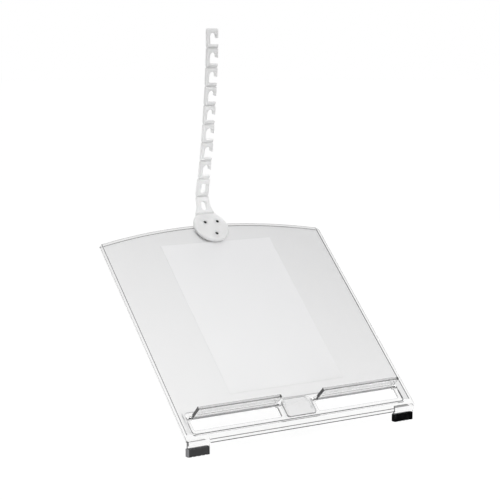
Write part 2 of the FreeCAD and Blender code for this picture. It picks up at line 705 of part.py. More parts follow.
make_panel()
make_centre_plate()
make_reading_field()
make_foot("left_foot", "-" + FOOT_CENTRE)
make_foot("right_foot", FOOT_CENTRE)
make_lip("left_lip", "-" + LIP_END, "-" + LIP_START)
make_lip("right_lip", LIP_START, LIP_END)
make_pin("left_lip_outer_pin", "-(%s + ear_gap)" % LIP_END, "pin_in_ear", "pin_in_lip")
make_pin("left_lip_inner_pin", "-" + LIP_START, "pin_in_lip", "pin_in_ear")
make_pin("right_lip_inner_pin", "%s - ear_gap" % LIP_START, "pin_in_ear", "pin_in_lip")
make_pin("right_lip_outer_pin", LIP_END, "pin_in_lip", "pin_in_ear")
make_strap_hub()
make_hub_washer()
make_hub_retainer()
make_hub_screws()
make_root_link()
make_window_link()
for link_number in range(3, len(LINK_LEANS) + 1):
    make_notched_link(link_number)

# Everything is placed about the seat of the top notch, where the strap hangs on its peg.
frames = strap_frames()
shift = Placement(-frames[-1].multVec(notch_seat()), Rotation())
panel_frame = shift * Placement(Vector(0, 0, 0), Rotation(EAST, value("panel_tilt")))
hinge_place = Vector(0, value("hinge_line"), value("-hinge_drop"))
hinge_frame = panel_frame * Placement(hinge_place, Rotation(EAST, value("lip_lean")))
hub_frame = panel_frame * Placement(Vector(0, value(HUB_LINE), 0), Rotation())
for piece in PIECES:
    if piece.Label in ("panel", "centre_plate", "reading_field"):
        piece.Placement = panel_frame
    elif piece.Label.endswith("_foot"):
        piece.Placement = shift
    elif piece.Label.endswith(("_lip", "_pin")):
        piece.Placement = hinge_frame
    elif "hub" in piece.Label:
        piece.Placement = hub_frame
    else:
        piece.Placement = shift * frames[int(piece.Label.split("_")[-1]) - 1]

doc.recompute()
for item in doc.Objects:
    if "Invalid" in item.State or "Error" in item.State:
        raise RuntimeError("%s did not build: %s" % (item.Label, item.State))
for piece in PIECES:
    if piece.Shape.isNull() or not piece.Shape.isValid():
        raise RuntimeError("%s has no valid shape" % piece.Label)
os.makedirs("parts", exist_ok=True)
for piece in PIECES:
    piece.Shape.exportStep("parts/%s.step" % piece.Label)
    print("%-22s %2d solids %10.1f mm3" % (piece.Label, len(piece.Shape.Solids), piece.Shape.Volume))
print("hub centre", hub_frame.Base, "front edge", panel_frame.Base)
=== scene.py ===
"""The look of an in-line copy holder: a clear moulded plate on rubber feet, hung by a milky notched strap."""
import json
import logging
import math
from dataclasses import dataclass
from enum import Enum

import bmesh
import bpy
from mathutils import Euler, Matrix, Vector


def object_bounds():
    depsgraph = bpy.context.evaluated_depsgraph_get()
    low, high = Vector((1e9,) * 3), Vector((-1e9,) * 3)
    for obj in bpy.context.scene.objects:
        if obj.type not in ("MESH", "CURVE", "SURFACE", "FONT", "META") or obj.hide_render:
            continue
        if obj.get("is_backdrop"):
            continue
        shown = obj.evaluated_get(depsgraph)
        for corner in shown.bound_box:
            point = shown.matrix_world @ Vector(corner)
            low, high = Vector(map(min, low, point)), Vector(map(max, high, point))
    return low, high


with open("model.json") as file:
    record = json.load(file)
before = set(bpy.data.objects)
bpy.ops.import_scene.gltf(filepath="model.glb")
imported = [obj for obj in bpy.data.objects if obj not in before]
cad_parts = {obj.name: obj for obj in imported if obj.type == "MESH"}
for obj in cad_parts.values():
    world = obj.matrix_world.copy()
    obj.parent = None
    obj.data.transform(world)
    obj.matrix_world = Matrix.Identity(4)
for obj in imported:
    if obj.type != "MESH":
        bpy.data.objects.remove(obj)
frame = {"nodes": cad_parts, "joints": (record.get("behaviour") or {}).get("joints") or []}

log = logging.getLogger("copy_holder")
logging.basicConfig(level=logging.INFO, format="%(message)s")

Tree = bpy.types.NodeTree
Node = bpy.types.Node
Socket = bpy.types.NodeSocket
Material = bpy.types.Material

MM = 0.001
# inputs and outputs of a colour mix, by number, because its names are shared by every kind of mix
MIX_SHARE, MIX_FROM, MIX_TO, MIX_COLOUR = 0, 6, 7, 2


def linear(hex_colour: str) -> tuple[float, float, float, float]:
    """Turn an sRGB hex colour into linear values.

    Args:
        hex_colour: Six hex digits.

    Returns:
        Red, green, blue and full opacity, as a shader wants them.
    """
    parts = [int(hex_colour[i:i + 2], 16) / 255 for i in (0, 2, 4)]
    red, green, blue = (c / 12.92 if c <= 0.04045 else ((c + 0.055) / 1.055) ** 2.4 for c in parts)
    return red, green, blue, 1.0


def add_node(tree: Tree, kind: str, settings: dict | None = None, links: dict | None = None) -> Node:
    """Add a shader node.

    Args:
        tree: The tree that gets the node.
        kind: The node's type name.
        settings: Values by attribute name, or by input name or number.
        links: Output sockets by input name or number.

    Returns:
        The new node.
    """
    node = tree.nodes.new(kind)
    for name, setting in (settings or {}).items():
        if isinstance(name, str) and hasattr(node, name):
            setattr(node, name, setting)
        else:
            node.inputs[name].default_value = setting
    for name, socket in (links or {}).items():
        tree.links.new(socket, node.inputs[name])
    return node


def new_tree(name: str) -> tuple[Material, Tree, Node]:
    """Start a node material.

    Args:
        name: The material's name.

    Returns:
        The material, its empty tree and its output node.
    """
    material = bpy.data.materials.new(name)
    material.use_nodes = True
    material.node_tree.nodes.clear()
    output = add_node(material.node_tree, "ShaderNodeOutputMaterial")
    return material, material.node_tree, output


def fold(tree: Tree, operation: str, sockets: list[Socket]) -> Socket:
    """Run a chain of values through one operation.

    Args:
        tree: The tree that gets the nodes.
        operation: The maths operation, such as MULTIPLY or MAXIMUM.
        sockets: The values, two or more.

    Returns:
        The socket of the result.
    """
    result = sockets[0]
    for socket in sockets[1:]:
        step = add_node(tree, "ShaderNodeMath", {"operation": operation}, {0: result, 1: socket})
        result = step.outputs["Value"]
    return result


def layered(tree: Tree, under: str, layers: list[tuple[Socket, Socket | str]]) -> Socket:
    """Lay colours over each other, each where its own mask is 1.

    Args:
        tree: The tree that gets the nodes.
        under: The lowest colour, in hex.
        layers: Each layer's mask and its colour, a socket or hex, from the lowest layer up.

    Returns:
        The socket of the colour that shows.
    """
    below = under
    for mask, above in layers:
        settings, links = {"data_type": "RGBA"}, {MIX_SHARE: mask}
        for number, colour in ((MIX_FROM, below), (MIX_TO, above)):
            if isinstance(colour, str):
                settings[number] = linear(colour)
            else:
                links[number] = colour
        below = add_node(tree, "ShaderNodeMix", settings, links).outputs[MIX_COLOUR]
    return below


class Zone(Enum):
    """Which clear moulding a finish is for."""

    PLATE = "plate"
    LIP = "lip"
    BADGE = "badge"


class Side(Enum):
    """Which points a mask takes in along one axis: those at a level, past it or short of it."""

    AT = "COMPARE"
    PAST = "GREATER_THAN"
    SHORT_OF = "LESS_THAN"


@dataclass(frozen=True)
class PlateFrame:
    """The leaning plate's axes from the hub's centre: x across, y up the slope, z out of the reading face."""

    centre: Vector
    tilt: float
    hinge: Vector
    lip_lean: float = 4.0
    slope: tuple[float, float, float] = (0.52, 0.85, 0.0)
    slope_start: float = -400.0 * MM
    slope_end: float = 60.0 * MM

    @classmethod
    def from_joints(cls, joints: list[dict]) -> "PlateFrame":
        """Read the plate's place from the hub's swivel, which is square to it, and the lips' from a fold.

        Args:
            joints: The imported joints.

        Returns:
            The plate's axes.
        """
        swivel = next(joint for joint in joints if joint["name"] == "hub_swivel")
        lip_fold = next(joint for joint in joints if joint["name"] == "left_lip_fold")
        axis = Vector(swivel["axis"])
        return cls(Vector(swivel["pos_m"]), math.atan2(-axis.y, axis.z), Vector(lip_fold["pos_m"]))

    def coordinates(self, tree: Tree, on_lip: bool = False) -> Node:
        """Add nodes that give a point's place in metres, in the plate's axes or in a standing lip's.

        Args:
            tree: The tree that gets the nodes.
            on_lip: Whether to use the lip's axes, which stand on the hinge line.

        Returns:
            The node whose Vector output is the place.
        """
        place = add_node(tree, "ShaderNodeTexCoord")
        centre = Vector((self.centre.x, self.hinge.y, self.hinge.z)) if on_lip else self.centre
        tilt = self.tilt + math.radians(self.lip_lean) if on_lip else self.tilt
        settings = {"vector_type": "TEXTURE", "Location": centre, "Rotation": Euler((tilt, 0.0, 0.0))}
        return add_node(tree, "ShaderNodeMapping", settings, {"Vector": place.outputs["Object"]})

    def painted_slope_shade(self, tree: Tree, place: Node, near: str, far: str) -> Socket:
        """Add nodes that paint shade, which changes slowly from the near left corner to the far right one.

        Args:
            tree: The tree that gets the nodes.
            place: The node that gives the place in the plate's axes.
            near: The colour near the reader, in hex.
            far: The colour far up the slope, in hex.

        Returns:
            The colour socket.
        """
        along = add_node(tree, "ShaderNodeVectorMath", {"operation": "DOT_PRODUCT", 1: self.slope},
                         {0: place.outputs["Vector"]})
        share = add_node(tree, "ShaderNodeMapRange", {
            "From Min": self.slope_start, "From Max": self.slope_end}, {"Value": along.outputs["Value"]})
        return layered(tree, near, [(share.outputs["Result"], far)])


@dataclass(frozen=True)
class Draft:
    """A clear finish while it is made: its tree, the plate's axes and the nodes that its zones use."""

    tree: Tree
    plate: PlateFrame
    place: Node
    split: Node
    surface: Node
    waves: Node

    def zone(self, axis: str, side: Side, level: float, band: float = 0.0) -> Socket:
        """Pick out a zone by its place along one axis.

        Args:
            axis: The axis, X, Y or Z.
            side: Which side of the level the zone is on.
            level: The level.
            band: How far a zone at the level reaches to each side of it.

        Returns:
            The mask's socket.
        """
        settings = {"operation": side.value, 1: level, 2: band}
        test = add_node(self.tree, "ShaderNodeMath", settings, {0: self.split.outputs[axis]})
        return test.outputs["Value"]


@dataclass(frozen=True)
class Crease:
    """A moulded edge round a rounded box on the plate, and its mirror image, seen as a fine shadow line."""

    middle: tuple[float, float]
    half: tuple[float, float]
    corner: float
    foot: float
    depth: float = 1.0
    rear_depth: float = 1.0
    offset: float = 0.25 * MM
    width: float = 0.55 * MM

    def mask(self, draft: Draft) -> Socket:
        """Add nodes that pick out the line, on both halves of the plate.

        Args:
            draft: The finish that gets the nodes.

        Returns:
            The mask's socket.
        """
        tree = draft.tree
        inner = (self.half[0] - self.corner, self.half[1] - self.corner, 0.0)
        # how far a point lies from the box that the rounded one is drawn about, with the height left out
        steps = (("MULTIPLY", (1.0, 1.0, 0.0)), ("ABSOLUTE", None), ("SUBTRACT", (*self.middle, 0.0)),
                 ("ABSOLUTE", None), ("SUBTRACT", inner), ("MAXIMUM", (0.0, 0.0, 0.0)))
        spot = draft.place
        for operation, setting in steps:
            settings = {"operation": operation} if setting is None else {"operation": operation, 1: setting}
            spot = add_node(tree, "ShaderNodeVectorMath", settings, {0: spot.outputs["Vector"]})
        reach = add_node(tree, "ShaderNodeVectorMath", {"operation": "LENGTH"}, {0: spot.outputs["Vector"]})
        line = add_node(tree, "ShaderNodeMath", {
            "operation": "COMPARE", 1: self.corner + self.offset, 2: self.width}, {0: reach.outputs["Value"]})
        depth = add_node(tree, "ShaderNodeMapRange", {
            "From Min": -self.middle[1], "From Max": -self.middle[1] + self.corner, "To Min": self.depth,
            "To Max": self.rear_depth}, {"Value": draft.split.outputs["Y"]})
        high = draft.zone("Z", Side.PAST, self.foot)
        return fold(tree, "MULTIPLY", [line.outputs["Value"], high, depth.outputs["Result"]])


@dataclass(frozen=True)
class ClearStyrene:
    """Crystal polystyrene, injection moulded."""

    # a deep clear gloss with slow waves from the mould, which greys along its long edge paths
    zone: Zone
    tint: str
    body_density: float
    polish: float = 0.03
    ior: float = 1.59
    body_tint: str = "7c7e80"
    wave: float = 35.0 * MM
    wave_height: float = 0.4 * MM
    wave_strength: float = 0.12
    wave_detail: float = 1.0

    def material(self, plate: PlateFrame) -> Material:
        """Make the finish.

        Args:
            plate: The leaning plate's axes.

        Returns:
            The material.
        """
        material, tree, output = new_tree("clear_styrene_" + self.zone.value)
        place = plate.coordinates(tree, self.zone is Zone.LIP)
        split = add_node(tree, "ShaderNodeSeparateXYZ", links={"Vector": place.outputs["Vector"]})
        wave = add_node(tree, "ShaderNodeTexNoise", {"Scale": 1 / self.wave, "Detail": self.wave_detail},
                        {"Vector": place.outputs["Vector"]})
        waves = add_node(tree, "ShaderNodeBump", {
            "Strength": self.wave_strength, "Distance": self.wave_height}, {"Height": wave.outputs["Fac"]})
        surface = add_node(tree, "ShaderNodeBsdfPrincipled", {
            "Base Color": linear(self.tint), "Roughness": self.polish, "IOR": self.ior,
            "Transmission Weight": 1.0}, {"Normal": waves.outputs["Normal"]})
        self.add_zones(Draft(tree, plate, place, split, surface, waves))
        body = add_node(tree, "ShaderNodeVolumeAbsorption", {
            "Color": linear(self.body_tint), "Density": self.body_density})
        tree.links.new(surface.outputs["BSDF"], output.inputs["Surface"])
        tree.links.new(body.outputs["Volume"], output.inputs["Volume"])
        return material

    def add_zones(self, draft: Draft) -> None:
        """Add what one moulding has and the others don't.

        Args:
            draft: The finish that gets the nodes.
        """


@dataclass(frozen=True)
class LipStyrene(ClearStyrene):
    """A lip's finish."""

    # painted shade along its hook, a painted shadow line along its barrel, and painted shade that makes its
    # end faces dark and opaque
    hook_shade_tint: str = "dcdcdc"
    hook_foot: float = 22.8 * MM
    barrel_shadow_tint: str = "4a4a4c"
    barrel_top: float = -1.2 * MM
    end_shade_tint: str = "3a3a3c"
    end_places: tuple[float, float] = (-185.5 * MM, 39.0 * MM)
    end_depth: float = 0.3 * MM

    def add_zones(self, draft: Draft) -> None:
        """Add the zones of painted shade by their place on the lip.

        Args:
            draft: The finish that gets the nodes.
        """
        tree = draft.tree
        # painted shade on the hook, a painted shadow line on the barrel and painted shade on the end faces,
        # which are also made opaque
        hook = draft.zone("Z", Side.PAST, self.hook_foot)
        barrel = draft.zone("Z", Side.SHORT_OF, self.barrel_top)
        end_shade = fold(tree, "MAXIMUM", [draft.zone("X", Side.AT, x, self.end_depth) for x in self.end_places])
        colour = layered(tree, self.tint, [
            (hook, self.hook_shade_tint), (barrel, self.barrel_shadow_tint), (end_shade, self.end_shade_tint)])
        tree.links.new(colour, draft.surface.inputs["Base Color"])
        clear = add_node(tree, "ShaderNodeMath", {"operation": "SUBTRACT", 0: 1.0}, {1: end_shade})
        tree.links.new(clear.outputs["Value"], draft.surface.inputs["Transmission Weight"])


@dataclass(frozen=True)
class BadgeStyrene(ClearStyrene):
    """The centre plate's finish."""

    # clear, with a shadow line inside its polished edge and a wall made whiter and less clear, painted light
    # that lifts the shade on it
    edge: Crease = Crease(
        middle=(0.0, 366.15 * MM), half=(27.5 * MM, 16.75 * MM), corner=7.0 * MM, foot=-1.3 * MM,
        offset=-0.7 * MM, width=0.6 * MM)
    edge_tint: str = "a8a8aa"
    wall: Crease = Crease(
        middle=(0.0, 366.15 * MM), half=(27.5 * MM, 16.75 * MM), corner=7.0 * MM, foot=-9.0 * MM,
        depth=0.8, rear_depth=0.8, offset=0.0, width=0.15 * MM)

    def add_zones(self, draft: Draft) -> None:
        """Add the shadow line and the wall round the edge, which is given painted light.

        Args:
            draft: The finish that gets the nodes.
        """
        tree = draft.tree
        colour = layered(tree, self.tint, [(self.edge.mask(draft), self.edge_tint)])
        tree.links.new(colour, draft.surface.inputs["Base Color"])
        # painted light: the wall is made whiter and less clear to lift the shade on it
        wall = self.wall.mask(draft)
        clear = add_node(tree, "ShaderNodeMath", {"operation": "SUBTRACT", 0: 1.0}, {1: wall})
        tree.links.new(clear.outputs["Value"], draft.surface.inputs["Transmission Weight"])


@dataclass(frozen=True)
class PlateStyrene(ClearStyrene):
    """The plate's own finish."""

    # polished but for its satin reading face, with fine shadow lines along the moulded edges

    # the reading face and the raised border round it, each by its height in the plate's axes, both with
    # painted shade that greys them towards the far end
    face_near_shade: str = "eeeeee"
    face_far_shade: str = "c4c4c5"
    face_level: float = -1.2 * MM
    face_roughness: float = 0.38
    level_band: float = 0.12 * MM
    border_near_shade: str = "fbfbfb"
    border_far_shade: str = "d2d2d2"
    border_front: float = -350.0 * MM
    # the shadow lines, and where the step from the border to the face runs
    crease_tint: str = "2c2c2e"
    crease_roughness: float = 0.2
    step_foot: float = -1.1 * MM
    step_side: float = 206.6 * MM
    step_lean: float = 0.3 * MM
    step_width: float = 0.55 * MM
    step_front: float = -385.0 * MM
    arc_depth: float = 0.7
    arc_radius: float = 881.8 * MM
    arc_centre: float = -878.0 * MM
    # the outer edges, whiter and less clear
    rim_tint: str = "fdfdfd"
    rim_side: float = 211.7 * MM
    rim_radius: float = 886.9 * MM
    rim_clearness: float = 0.1
    # the recess's floor
    floor_tint: str = "f7f7f7"
    floor_level: float = -3.1 * MM
    # the front flange's lower edge, by its real height
    flange_foot: float = -591.28 * MM
    flange_rear: float = -278.0 * MM
    flange_reach: float = 171.0 * MM
    flange_line: float = 0.8 * MM
    # the recess along the front and the window in each half of it
    recess: Crease = Crease(
        middle=(0.0, 366.8 * MM), half=(195.5 * MM, 19.4 * MM), corner=6.0 * MM, foot=-3.0 * MM,
        rear_depth=0.45, offset=0.4 * MM, width=0.75 * MM)
    windows: Crease = Crease(
        middle=(112.35 * MM, 365.45 * MM), half=(77.85 * MM, 12.95 * MM), corner=3.0 * MM, foot=-3.3 * MM,
        depth=0.3, rear_depth=0.3)
    # the satin grain, which is finer on the real face and is drawn coarser here
    grain: float = 0.35 * MM
    grain_height: float = 0.02 * MM
    grain_strength: float = 0.15
    grain_detail: float = 2.0

    def add_zones(self, draft: Draft) -> None:
        """Add the satin face, which takes the glare off the page, the painted shade on the face and the
        border, the whiter rim and the shadow lines.

        Args:
            draft: The finish that gets the nodes.
        """
        tree, surface = draft.tree, draft.surface
        on_border = draft.zone("Z", Side.AT, 0.0, self.level_band)
        on_face = draft.zone("Z", Side.AT, self.face_level, self.level_band)
        on_floor = draft.zone("Z", Side.AT, self.floor_level, self.level_band)
        arc_reach = self.arc_reach(draft)
        rim = self.rim_mask(draft, arc_reach)
        creases = fold(tree, "MAXIMUM", [self.step_mask(draft, arc_reach), self.flange_mask(draft),
                                         self.recess.mask(draft), self.windows.mask(draft)])
        # painted shade across the reading face, greyer towards the far right
        face = draft.plate.painted_slope_shade(tree, draft.place, self.face_near_shade, self.face_far_shade)
        colour = layered(tree, self.tint, [
            (on_border, self.painted_border_shade(draft)), (on_floor, self.floor_tint), (rim, self.rim_tint),
            (on_face, face), (creases, self.crease_tint)])
        tree.links.new(colour, surface.inputs["Base Color"])
        gleam = layered(tree, "ffffff", [(creases, self.crease_tint)])
        tree.links.new(gleam, surface.inputs["Specular Tint"])
        clear = add_node(tree, "ShaderNodeMapRange", {"To Min": 1.0, "To Max": self.rim_clearness},
                         {"Value": rim})
        tree.links.new(clear.outputs["Result"], surface.inputs["Transmission Weight"])
        satin = add_node(tree, "ShaderNodeMapRange", {"To Min": self.polish, "To Max": self.face_roughness},
                         {"Value": on_face})
        rough = add_node(tree, "ShaderNodeMath", {"operation": "MULTIPLY_ADD", 1: self.crease_roughness},
                         {0: creases, 2: satin.outputs["Result"]})
        tree.links.new(rough.outputs["Value"], surface.inputs["Roughness"])
        grain = add_node(tree, "ShaderNodeTexNoise", {"Scale": 1 / self.grain, "Detail": self.grain_detail},
                         {"Vector": draft.place.outputs["Vector"]})
        height = fold(tree, "MULTIPLY", [grain.outputs["Fac"], on_face])
        bump = add_node(tree, "ShaderNodeBump", {
            "Strength": self.grain_strength, "Distance": self.grain_height}, {
            "Height": height, "Normal": draft.waves.outputs["Normal"]})
        tree.links.new(bump.outputs["Normal"], surface.inputs["Normal"])

    def painted_border_shade(self, draft: Draft) -> Socket:
        """Add nodes that paint shade on the raised border's top, greyer to the rear.

        Args:
            draft: The finish that gets the nodes.

        Returns:
            The colour socket.
        """
        rise = add_node(draft.tree, "ShaderNodeMapRange", {"From Min": self.border_front, "From Max": 0.0},
                        {"Value": draft.split.outputs["Y"]})
        return layered(draft.tree, self.border_near_shade, [(rise.outputs["Result"], self.border_far_shade)])

    def arc_reach(self, draft: Draft) -> Socket:
        """Add nodes that give the distance from the centre of the plate's rear arc.

        Args:
            draft: The finish that gets the nodes.

        Returns:
            The distance's socket.
        """
        tree, split = draft.tree, draft.split
        up = add_node(tree, "ShaderNodeMath", {"operation": "SUBTRACT", 1: self.arc_centre},
                      {0: split.outputs["Y"]})
        spot = add_node(tree, "ShaderNodeCombineXYZ", links={
            "X": split.outputs["X"], "Y": up.outputs["Value"]})
        reach = add_node(tree, "ShaderNodeVectorMath", {"operation": "LENGTH"}, {0: spot.outputs["Vector"]})
        return reach.outputs["Value"]

    def step_mask(self, draft: Draft, arc_reach: Socket) -> Socket:
        """Add nodes that pick out the step between the border and the face: its two sides and its arc.

        Args:
            draft: The finish that gets the nodes.
            arc_reach: The distance from the centre of the rear arc.

        Returns:
            The mask's socket.
        """
        tree = draft.tree
        leaned = add_node(tree, "ShaderNodeMath", {"operation": "ADD", 1: self.step_lean},
                          {0: draft.split.outputs["X"]})
        across = add_node(tree, "ShaderNodeMath", {"operation": "ABSOLUTE"}, {0: leaned.outputs["Value"]})
        side = add_node(tree, "ShaderNodeMath", {
            "operation": "COMPARE", 1: self.step_side, 2: self.step_width}, {0: across.outputs["Value"]})
        arc = add_node(tree, "ShaderNodeMath", {
            "operation": "COMPARE", 1: self.arc_radius, 2: self.step_width}, {0: arc_reach})
        faint = add_node(tree, "ShaderNodeMath", {"operation": "MULTIPLY", 1: self.arc_depth},
                         {0: arc.outputs["Value"]})
        sides = fold(tree, "MULTIPLY", [side.outputs["Value"], draft.zone("Y", Side.PAST, self.step_front)])
        both = fold(tree, "MAXIMUM", [sides, faint.outputs["Value"]])
        return fold(tree, "MULTIPLY", [both, draft.zone("Z", Side.PAST, self.step_foot)])

    def rim_mask(self, draft: Draft, arc_reach: Socket) -> Socket:
        """Add nodes that pick out the plate's outer edges, which are made whiter and less clear.

        Args:
            draft: The finish that gets the nodes.
            arc_reach: The distance from the centre of the rear arc.

        Returns:
            The mask's socket.
        """
        tree = draft.tree
        across = add_node(tree, "ShaderNodeMath", {"operation": "ABSOLUTE"}, {0: draft.split.outputs["X"]})
        side = add_node(tree, "ShaderNodeMath", {"operation": "GREATER_THAN", 1: self.rim_side},
                        {0: across.outputs["Value"]})
        rear = add_node(tree, "ShaderNodeMath", {"operation": "GREATER_THAN", 1: self.rim_radius},
                        {0: arc_reach})
        return fold(tree, "MAXIMUM", [side.outputs["Value"], rear.outputs["Value"]])

    def flange_mask(self, draft: Draft) -> Socket:
        """Add nodes that pick out the lower edge of the upright front flange, between the feet.

        Args:
            draft: The finish that gets the nodes.

        Returns:
            The mask's socket.
        """
        tree = draft.tree
        place = add_node(tree, "ShaderNodeTexCoord")
        upright = add_node(tree, "ShaderNodeSeparateXYZ", links={"Vector": place.outputs["Object"]})
        low = add_node(tree, "ShaderNodeMath", {
            "operation": "COMPARE", 1: self.flange_foot, 2: self.flange_line}, {0: upright.outputs["Z"]})
        front = add_node(tree, "ShaderNodeMath", {"operation": "LESS_THAN", 1: self.flange_rear},
                         {0: upright.outputs["Y"]})
        between = draft.zone("X", Side.AT, 0.0, self.flange_reach)
        return fold(tree, "MULTIPLY", [low.outputs["Value"], front.outputs["Value"], between])


@dataclass(frozen=True)
class SatinFilm:
    """Satin polyester film, cast and matted."""

    # a soft white that shows where an A4 page goes, with painted shade that greys it towards the far right,
    # and passes a little of the light behind it
    near: str = "fafafa"
    far: str = "eeeeef"
    roughness: float = 0.55
    ior: float = 1.5
    glow: float = 0.2
    # the matting's grain, drawn coarser than it is
    grain: float = 0.5 * MM
    grain_height: float = 0.02 * MM
    grain_strength: float = 0.1
    grain_detail: float = 2.0

    def material(self, plate: PlateFrame) -> Material:
        """Make the finish.

        Args:
            plate: The leaning plate's axes.

        Returns:
            The material.
        """
        material, tree, output = new_tree("satin_film")
        place = plate.coordinates(tree)
        grain = add_node(tree, "ShaderNodeTexNoise", {"Scale": 1 / self.grain, "Detail": self.grain_detail},
                         {"Vector": place.outputs["Vector"]})
        bump = add_node(tree, "ShaderNodeBump", {
            "Strength": self.grain_strength, "Distance": self.grain_height}, {"Height": grain.outputs["Fac"]})
        # painted shade, greyer towards the far right
        colour = plate.painted_slope_shade(tree, place, self.near, self.far)
        surface = add_node(tree, "ShaderNodeBsdfPrincipled", {"Roughness": self.roughness, "IOR": self.ior},
                           {"Base Color": colour, "Normal": bump.outputs["Normal"]})
        through = add_node(tree, "ShaderNodeBsdfTranslucent", links={"Color": colour})
        mix = add_node(tree, "ShaderNodeMixShader", {0: self.glow},
                       {1: surface.outputs["BSDF"], 2: through.outputs["BSDF"]})
        tree.links.new(mix.outputs["Shader"], output.inputs["Surface"])
        return material


@dataclass(frozen=True)
class MilkyPolypropylene:
    """Unfilled polypropylene, injection moulded."""

    # milky and softly glossy with faint flow marks, whitest low down by the hub and greyer towards the
    # strap's top
    near: str = "ffffff"
    far: str = "dfdfdf"
    whitest_level: float = -330.0 * MM
    tip: float = 0.0
    roughness: float = 0.4
    ior: float = 1.49
    clearness: float = 0.3
    depth: float = 6.0 * MM
    scatter: tuple[float, float, float] = (1.0, 1.0, 1.0)
    # the mould's spark-eroded grain, drawn coarser than it is
    grain: float = 0.6 * MM
    grain_height: float = 0.05 * MM
    grain_strength: float = 0.12
    flow: float = 9.0 * MM
    flow_bend: float = 0.6
    flow_share: float = 0.08
    detail: float = 2.0

    def material(self) -> Material:
        """Make the finish.

        Returns:
            The material.
        """
        material, tree, output = new_tree("milky_polypropylene")
        place = add_node(tree, "ShaderNodeTexCoord")
        split = add_node(tree, "ShaderNodeSeparateXYZ", links={"Vector": place.outputs["Object"]})
        flow = add_node(tree, "ShaderNodeTexNoise", {
            "Scale": 1 / self.flow, "Detail": self.detail, "Distortion": self.flow_bend}, {
            "Vector": place.outputs["Object"]})
        up = add_node(tree, "ShaderNodeMapRange", {"From Min": self.whitest_level, "From Max": self.tip},
                      {"Value": split.outputs["Z"]})
        share = add_node(tree, "ShaderNodeMath", {"operation": "MULTIPLY_ADD", 1: self.flow_share},
                         {0: flow.outputs["Fac"], 2: up.outputs["Result"]})
        grain = add_node(tree, "ShaderNodeTexNoise", {"Scale": 1 / self.grain, "Detail": self.detail},
                         {"Vector": place.outputs["Object"]})
        bump = add_node(tree, "ShaderNodeBump", {
            "Strength": self.grain_strength, "Distance": self.grain_height}, {"Height": grain.outputs["Fac"]})
        surface = add_node(tree, "ShaderNodeBsdfPrincipled", {
            "Roughness": self.roughness, "IOR": self.ior, "Subsurface Weight": 1.0,
            "Subsurface Scale": self.depth, "Subsurface Radius": self.scatter,
            "Transmission Weight": self.clearness}, {
            "Base Color": layered(tree, self.near, [(share.outputs["Value"], self.far)]),
            "Normal": bump.outputs["Normal"]})
        tree.links.new(surface.outputs["BSDF"], output.inputs["Surface"])
        return material


@dataclass(frozen=True)
class MouldedRubber:
    """Black nitrile rubber, compression moulded."""

    # near black with a fine grain, with painted light that greys it towards the left in soft clouds, a
    # painted highlight along the top edge and a painted sheen on the left foot's outer end
    colour: str = "020203"
    painted_left_light: str = "414142"
    edge: str = "4e4e50"
    end: str = "848486"
    end_place: float = -208.6 * MM
    edge_place: float = -597.4 * MM
    reach: float = 190.0 * MM
    right_share: float = -0.3
    left_share: float = 0.7
    cloud_share: float = 0.6
    roughness: float = 0.55
    ior: float = 1.52
    shine: float = 0.02
    # the blasted mould's grain, drawn coarser than it is
    grain: float = 0.5 * MM
    grain_height: float = 0.05 * MM
    grain_strength: float = 0.25
    cloud: float = 6.0 * MM
    cloud_detail: float = 3.0

    def material(self) -> Material:
        """Make the finish.

        Returns:
            The material.
        """
        material, tree, output = new_tree("moulded_rubber")
        place = add_node(tree, "ShaderNodeTexCoord")
        split = add_node(tree, "ShaderNodeSeparateXYZ", links={"Vector": place.outputs["Object"]})
        cloud = add_node(tree, "ShaderNodeTexNoise", {"Scale": 1 / self.cloud, "Detail": self.cloud_detail},
                         {"Vector": place.outputs["Object"]})
        # painted light: the share of grey grows towards the left, in soft clouds
        side = add_node(tree, "ShaderNodeMapRange", {
            "From Min": self.reach, "From Max": -self.reach, "To Min": self.right_share,
            "To Max": self.left_share}, {"Value": split.outputs["X"]})
        share = add_node(tree, "ShaderNodeMath", {
            "operation": "MULTIPLY_ADD", 1: self.cloud_share, "use_clamp": True},
            {0: cloud.outputs["Fac"], 2: side.outputs["Result"]})
        high = add_node(tree, "ShaderNodeMath", {"operation": "GREATER_THAN", 1: self.edge_place},
                        {0: split.outputs["Z"]})
        outer = add_node(tree, "ShaderNodeMath", {"operation": "LESS_THAN", 1: self.end_place},
                         {0: split.outputs["X"]})
        rim = fold(tree, "MULTIPLY", [high.outputs["Value"], share.outputs["Value"]])
        # painted light over the near black, a painted highlight along the top edge and a painted sheen on the
        # outer end
        colour = layered(tree, self.colour, [
            (share.outputs["Value"], self.painted_left_light), (rim, self.edge), (outer.outputs["Value"], self.end)])
        grain = add_node(tree, "ShaderNodeTexVoronoi", {"Scale": 1 / self.grain},
                         {"Vector": place.outputs["Object"]})
        bump = add_node(tree, "ShaderNodeBump", {
            "Strength": self.grain_strength, "Distance": self.grain_height}, {
            "Height": grain.outputs["Distance"]})
        surface = add_node(tree, "ShaderNodeBsdfPrincipled", {
            "Roughness": self.roughness, "IOR": self.ior, "Specular IOR Level": self.shine}, {
            "Base Color": colour, "Normal": bump.outputs["Normal"]})
        tree.links.new(surface.outputs["BSDF"], output.inputs["Surface"])
        return material


